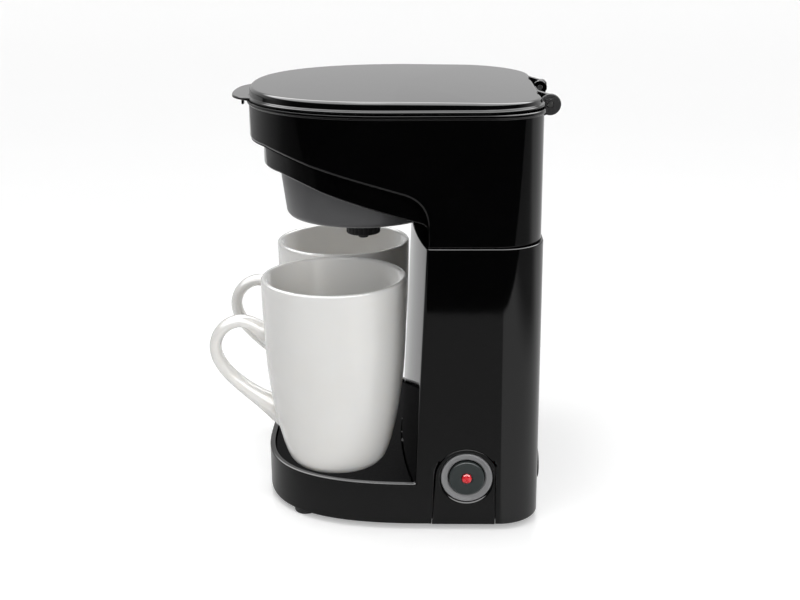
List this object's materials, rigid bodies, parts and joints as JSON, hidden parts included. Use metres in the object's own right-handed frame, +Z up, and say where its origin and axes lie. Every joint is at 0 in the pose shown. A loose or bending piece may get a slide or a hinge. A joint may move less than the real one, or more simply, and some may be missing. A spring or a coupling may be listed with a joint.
{
  "type": "drip coffee maker",
  "caption": "Countertop drip coffee maker with a hooded brewing head, hinged lid, side power button and a low tray with ceramic mugs under the spout.",
  "frame": {"origin": "middle of the bounding box on the surface that the feet stand on", "axes": "+Z up, -Y towards the front where the mugs stand, +X towards the power button's side"},
  "size_m": [0.168, 0.1936, 0.235],
  "materials": {
    "gloss_black": "gloss",
    "satin_black": "satin",
    "matt_black": "fine texture",
    "button_grey": "satin gloss",
    "lens_red": "clear gloss",
    "rubber_black": "matt",
    "ceramic_white": "glossy glaze",
    "steel": "satin",
    "aluminium": "as extruded",
    "tank_grey": "translucent smoke grey",
    "silicone": "matt",
    "nylon_gold": "fine woven mesh",
    "white_plastic": "satin",
    "lead_red": "matt"
  },
  "bodies": {
    "machine": {"lower_housing": "gloss_black", "cup_tray": "matt_black", "base_plate": "satin_black", "foot_fl": "rubber_black", "foot_fr": "rubber_black", "foot_rl": "rubber_black", "foot_rr": "rubber_black", "base_screw_fl": "steel", "base_screw_fr": "steel", "base_screw_rl": "steel", "base_screw_rr": "steel", "button_panel": "gloss_black", "button_bezel": "button_grey", "upper_housing": "gloss_black", "brew_chamber": "gloss_black", "filter_basket": "satin_black", "outlet_nozzle": "matt_black", "permanent_filter": "nylon_gold", "filter_rim": "matt_black", "hinge_pin_left": "steel", "hinge_pin_right": "steel", "water_tank": "tank_grey", "heater_block": "aluminium", "heater_clamp_front": "steel", "heater_clamp_rear": "steel", "riser_tube": "silicone", "inlet_hose": "silicone", "check_valve": "silicone", "thermostat": "steel", "thermal_fuse": "white_plastic", "terminal_block": "white_plastic", "switch_body": "satin_black", "lead_live": "lead_red", "cord_gland": "rubber_black", "rear_bumper": "rubber_black"},
    "lid": {"lid": "gloss_black", "water_guide": "matt_black", "spray_head": "matt_black"},
    "button": {"power_button": "satin_black", "indicator_lens": "lens_red"},
    "mug_left": {"mug_left": "ceramic_white"},
    "mug_right": {"mug_right": "ceramic_white"}
  },
  "joints": [
    {"name": "lid_hinge", "type": "hinge", "parent": "machine", "child": "lid", "pos_m": [0, 0.0911, 0.2272], "axis": [-1, 0, 0], "range_deg": [0, 100]},
    {"name": "power_button_press", "type": "slide", "parent": "machine", "child": "button", "axis": [-1, 0, 0], "range_m": [0, 0.0014], "stiffness_N_per_m": 400},
    {"name": "mug_left_lift", "type": "slide", "parent": "machine", "child": "mug_left", "axis": [0, -0.963, 0.2696], "range_m": [0, 0.15]},
    {"name": "mug_right_lift", "type": "slide", "parent": "machine", "child": "mug_right", "axis": [0, -0.963, 0.2696], "range_m": [0, 0.15]}
  ]
}
